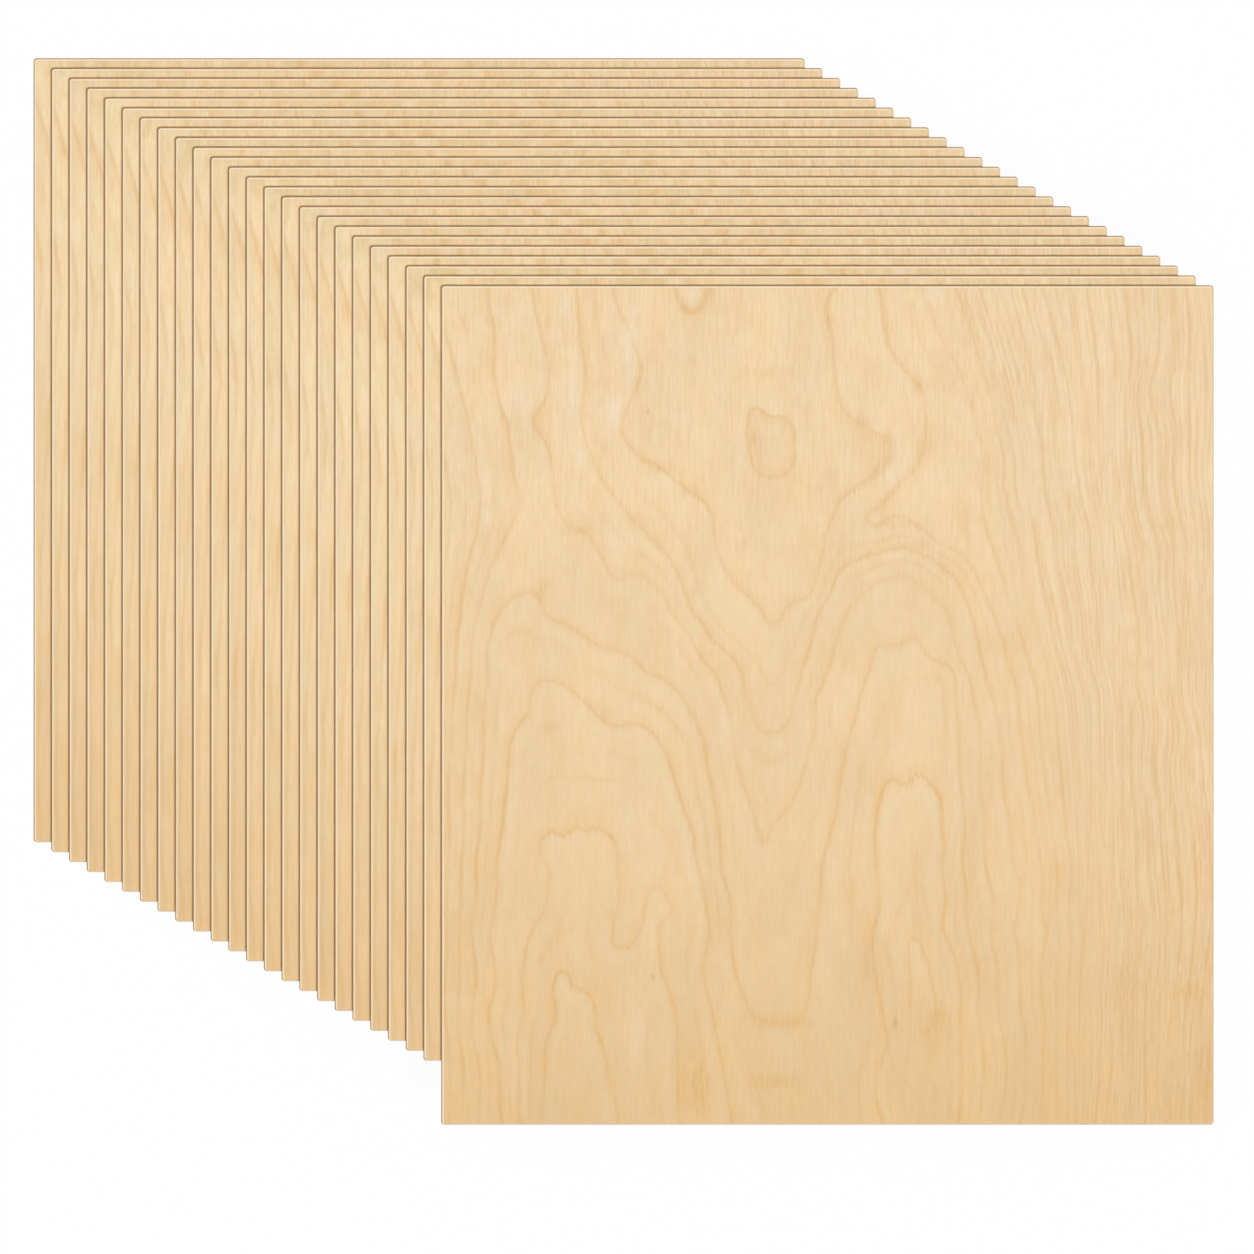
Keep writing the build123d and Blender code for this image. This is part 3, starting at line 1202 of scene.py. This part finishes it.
@dataclass
class SheetBlank:
    """One size of sheet, built once with its back left lower corner at the origin, to be copied.

    Attributes:
        size: Width, length and thickness.
        pitch: The spacing of the grid on its upper side.
        corner_radius: The radius of its four corners in plan.
        corner_facets: How many facets round each corner.
        arris: How far its sharp edges are eased.
        arris_facets: How many facets ease each of them.
        sharp_angle: The angle from which an edge is shaded sharp, in degrees.
        level_from: The upward or downward part of a normal from which a side counts as level.
        upright_to: The cosine up to which two sides count as upright and square to each other.
    """

    size: Vector
    pitch: float
    corner_radius: float = 1.3 * MM
    corner_facets: int = 6
    arris: float = 0.4 * MM
    arris_facets: int = 2
    sharp_angle: float = 25.0
    level_from: float = 0.99
    upright_to: float = 0.5

    def build(self, figure: VeneerFigure, materials: dict[Surface, bpy.types.Material]) -> bpy.types.Mesh:
        """Makes the mesh with its surfaces and the figure's numbers.

        Args:
            figure: The figure that its face carries.
            materials: The material of each surface.

        Returns:
            The finished mesh.
        """
        plate = self._plate()
        corners = [edge for edge in plate.edges if self._is_corner(edge)]
        self._bevel(plate, corners, self.corner_radius, self.corner_facets)
        arrises = [edge for edge in plate.edges if self._is_arris(edge)]
        self._bevel(plate, arrises, self.arris, self.arris_facets)
        for side in plate.faces:
            side.material_index = self._surface(side).value
            side.smooth = True
        mesh = bpy.data.meshes.new("sheet_blank")
        plate.to_mesh(mesh)
        plate.free()
        mesh.set_sharp_from_angle(angle=math.radians(self.sharp_angle))
        for surface in Surface:
            mesh.materials.append(materials[surface])
        self._note_places(mesh, figure)
        return mesh

    def _plate(self) -> bmesh.types.BMesh:
        """Makes a plate with square edges.

        Returns:
            The plate, gridded on its upper side.
        """
        plate = bmesh.new()
        columns = round(self.size.x / self.pitch)
        rows = round(self.size.y / self.pitch)
        bmesh.ops.create_grid(plate, x_segments=columns, y_segments=rows, size=0.5)
        bmesh.ops.scale(plate, vec=(self.size.x, self.size.y, 1.0), verts=plate.verts)
        bmesh.ops.translate(plate, vec=(self.size.x / 2, -self.size.y / 2, self.size.z), verts=plate.verts)
        made = bmesh.ops.extrude_face_region(plate, geom=plate.faces[:])
        lowered = [item for item in made["geom"] if isinstance(item, bmesh.types.BMVert)]
        bmesh.ops.translate(plate, vec=(0.0, 0.0, -self.size.z), verts=lowered)
        bmesh.ops.recalc_face_normals(plate, faces=plate.faces)
        under = [side for side in plate.faces if self._surface(side) is Surface.BACK]
        bmesh.ops.dissolve_faces(plate, faces=under)
        return plate

    @staticmethod
    def _bevel(
        plate: bmesh.types.BMesh, edges: list[bmesh.types.BMEdge], offset: float, facets: int
    ) -> None:
        """Rounds off edges.

        Args:
            plate: The plate to work on.
            edges: Its edges that are rounded off.
            offset: How far back from the edge the rounding starts.
            facets: How many facets it has.
        """
        bmesh.ops.bevel(
            plate, geom=edges, offset=offset, offset_type="OFFSET", segments=facets, profile=0.5,
            affect="EDGES", material=-1,
        )

    def _is_corner(self, edge: bmesh.types.BMEdge) -> bool:
        """Whether an edge is one of the plate's four upright corners."""
        first, second = (side.normal for side in edge.link_faces)
        return all(abs(part) < self.upright_to for part in (first.z, second.z, first.dot(second)))

    def _is_arris(self, edge: bmesh.types.BMEdge) -> bool:
        """Whether an edge lies between the plate's rim and its face or back."""
        return sum(self._surface(side) is Surface.EDGE for side in edge.link_faces) == 1

    def _surface(self, side: bmesh.types.BMFace) -> Surface:
        """Finds which of the sheet's surfaces a side belongs to.

        Args:
            side: The mesh's side.

        Returns:
            Its surface.
        """
        if abs(side.normal.z) <= self.level_from:
            return Surface.EDGE
        return Surface.FACE if side.normal.z > 0.0 else Surface.BACK

    def _note_places(self, mesh: bpy.types.Mesh, figure: VeneerFigure) -> None:
        """Keeps each point's place on the sheet and the figure's numbers there as attributes.

        Args:
            mesh: The blank's mesh.
            figure: The figure that its face carries.
        """
        points = np.empty(len(mesh.vertices) * 3, np.float32)
        mesh.vertices.foreach_get("co", points)
        places = points.reshape(-1, 3).astype(float) * (1.0, -1.0, 1.0) / MM
        mesh.attributes.new("place", "FLOAT_VECTOR", "POINT").data.foreach_set("vector", places.ravel())
        flat = places[:, :2]
        across, along = figure.rises(flat)
        numbers = {
            "growth": figure.level(flat),
            "growth_slope": np.hypot(across, along),
            "growth_along": along,
            "growth_ink": figure.ink(flat),
        }
        numbers |= {tone.value: figure.patch(flat, tone) for tone in Tone}
        for name, values in numbers.items():
            mesh.attributes.new(name, "FLOAT", "POINT").data.foreach_set("value", values)


@dataclass(frozen=True)
class SheetKind:
    """What sets the lower sheets and the top sheet apart.

    Attributes:
        suffix: The end of their materials' names.
        pitch: The spacing of the grid on their upper side.
        face: Their upper veneer.
    """

    suffix: str
    pitch: float
    face: FaceVeneer

    def materials(self, figure: VeneerFigure, thickness: float) -> dict[Surface, bpy.types.Material]:
        """Makes the finish of each surface.

        Args:
            figure: The figure that the face carries.
            thickness: The sheets' thickness in millimetres.

        Returns:
            The material of each surface.
        """
        return {
            Surface.FACE: self.face.material(figure, "face_veneer" + self.suffix),
            Surface.BACK: BackVeneer().material("back_veneer" + self.suffix),
            Surface.EDGE: PlyEdge().material("ply_edge" + self.suffix, thickness),
        }


@dataclass
class SheetStack:
    """The fanned stack, one piece for each sheet.

    Attributes:
        lower: The lower sheets, whose margins show; their figure is fainter and their margins differ more.
        top: The top sheet, whose whole face shows.
    """

    lower: SheetKind = SheetKind("", 4.0 * MM, FaceVeneer(margin_depth=0.25, back_depth=0.36, boldness=0.8))
    top: SheetKind = SheetKind("_top", 1.5 * MM, FaceVeneer(gloss_varies=True))

    def build(self) -> list[bpy.types.Object]:
        """Makes every sheet where its node lies.

        Returns:
            The pieces, from the bottom sheet up.
        """
        low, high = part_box(TOP_NODE)
        figure = VeneerFigure((high.x - low.x) / MM / PHOTO_SHEET_WIDTH)
        lower = sorted(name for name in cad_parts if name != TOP_NODE)
        pieces = []
        for kind, nodes in ((self.lower, lower), (self.top, [TOP_NODE])):
            low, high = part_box(nodes[0])
            blank = SheetBlank(high - low, kind.pitch)
            mesh = blank.build(figure, kind.materials(figure, blank.size.z / MM))
            for node in nodes:
                pieces.append(self._lay(node, mesh, len(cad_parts) - len(pieces) - 1))
            bpy.data.meshes.remove(mesh)
        return pieces

    def _lay(self, node: str, blank: bpy.types.Mesh, above: int) -> bpy.types.Object:
        """Copies the blank to where a node lies and has it stand for that node.

        Args:
            node: The CAD node's name.
            blank: The blank's mesh.
            above: How many sheets lie on it, which its finishes read.

        Returns:
            The sheet's object.
        """
        low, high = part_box(node)
        mesh = blank.copy()
        mesh.name = "plywood_" + node
        mesh.transform(Matrix.Translation((low.x, high.y, low.z)))
        numbers = np.full(len(mesh.vertices), above, np.float32)
        mesh.attributes.new("sheet", "FLOAT", "POINT").data.foreach_set("value", numbers)
        piece = add_object(mesh.name, mesh)
        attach(piece, BODY)
        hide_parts(node)
        return piece


@dataclass(frozen=True)
class SunLamp:
    """A far lamp.

    Attributes:
        name: Its name.
        share: Its light on a level surface.
        height: Its height above the horizon, in degrees.
        heading: The way to it in plan, in degrees from +X towards +Y.
        width: Its width, in degrees.
    """

    name: str
    share: float
    height: float
    heading: float
    width: float

    def build(self) -> None:
        """Adds the lamp to the scene."""
        height = math.radians(self.height)
        heading = math.radians(self.heading)
        lamp = bpy.data.lights.new(self.name, "SUN")
        lamp.energy = self.share * math.pi / math.sin(height)
        lamp.angle = math.radians(self.width)
        level = math.cos(height)
        to_sun = Vector((math.cos(heading) * level, math.sin(heading) * level, math.sin(height)))
        sun = add_object(self.name, lamp)
        sun.rotation_euler = to_sun.to_track_quat("Z", "Y").to_euler()
        sun.location = to_sun


@dataclass
class Studio:
    """A white floor, an even fill, two soft suns and a camera straight above.

    Attributes:
        fill: The world's light.
        key: The sun that draws a thin shadow along each step of the fan.
        overhead: The wide sun that keeps the strips between the steps light.
        lens: The camera's focal length in millimetres; long, so that the view is nearly parallel.
        sensor: The camera's sensor width in millimetres.
        floor_side: The floor's side.
        floor_gap: How far the floor lies below the stack.
        floor_colour: The floor's own white.
        floor_glow: The share of the floor's white that no shadow reaches.
    """

    fill: float = 0.3
    key: SunLamp = SunLamp("key_sun", 0.52, 64.0, -42.0, 14.0)
    overhead: SunLamp = SunLamp("overhead_sun", 0.163, 90.0, 0.0, 80.0)
    lens: float = 1500.0
    sensor: float = 36.0
    floor_side: float = 30.0
    floor_gap: float = 0.05 * MM
    floor_colour: tuple[float, ...] = (0.95, 0.95, 0.95, 1.0)
    floor_glow: float = 0.96

    def build(self) -> None:
        """Sets up the floor, the light and the camera."""
        self._floor()
        self._world()
        self.key.build()
        self.overhead.build()
        self._camera()
        bpy.context.scene.view_settings.view_transform = "Standard"

    def _floor(self) -> None:
        """A white floor that keeps a faint shadow."""
        plane = bmesh.new()
        bmesh.ops.create_grid(plane, x_segments=1, y_segments=1, size=self.floor_side / 2)
        bmesh.ops.translate(plane, vec=(0.0, 0.0, CAD_BOX[0].z - self.floor_gap), verts=plane.verts)
        mesh = bpy.data.meshes.new("floor")
        plane.to_mesh(mesh)
        plane.free()
        floor = add_object("floor", mesh)
        material = bpy.data.materials.new("floor_white")
        graph = ShaderGraph.empty(material)
        matt = graph.add("ShaderNodeBsdfDiffuse", {"Color": self.floor_colour}, "BSDF")
        glow = graph.add("ShaderNodeEmission", {}, "Emission")
        glow_share = graph.times(graph.seen_directly(), self.floor_glow)
        graph.send("ShaderNodeOutputMaterial", glow_share, matt, glow)
        mesh.materials.append(material)

    def _world(self) -> None:
        """An even fill that looks white to the camera."""
        world = bpy.data.worlds.new("even_fill")
        graph = ShaderGraph.empty(world)
        fill, white = (
            graph.add("ShaderNodeBackground", {"Color": WHITE, "Strength": strength}, "Background")
            for strength in (self.fill, 1.0)
        )
        graph.send("ShaderNodeOutputWorld", graph.seen_directly(), fill, white)
        bpy.context.scene.world = world

    def _camera(self) -> None:
        """A camera straight above that frames the top sheet as the photograph does."""
        low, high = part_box(TOP_NODE)
        pixel = (high.x - low.x) / PHOTO_SHEET_WIDTH
        middle = PHOTO_SIDE / 2
        distance = PHOTO_SIDE * pixel * self.lens / self.sensor
        lens = bpy.data.cameras.new("camera")
        lens.lens = self.lens
        lens.sensor_width = self.sensor
        lens.clip_end = 2 * distance
        camera = add_object("camera", lens)
        camera.location = (
            low.x + (middle - PHOTO_CORNER[0]) * pixel,
            high.y - (middle - PHOTO_CORNER[1]) * pixel,
            high.z + distance,
        )
        bpy.context.scene.camera = camera


def main() -> None:
    """Builds the stack and its studio in order."""
    logging.basicConfig(level=logging.INFO, format="%(name)s %(message)s")
    for piece in SheetStack().build():
        LOG.info("%s: %d faces", piece.name, len(piece.data.polygons))
    Studio().build()


if __name__ == "__main__":
    main()
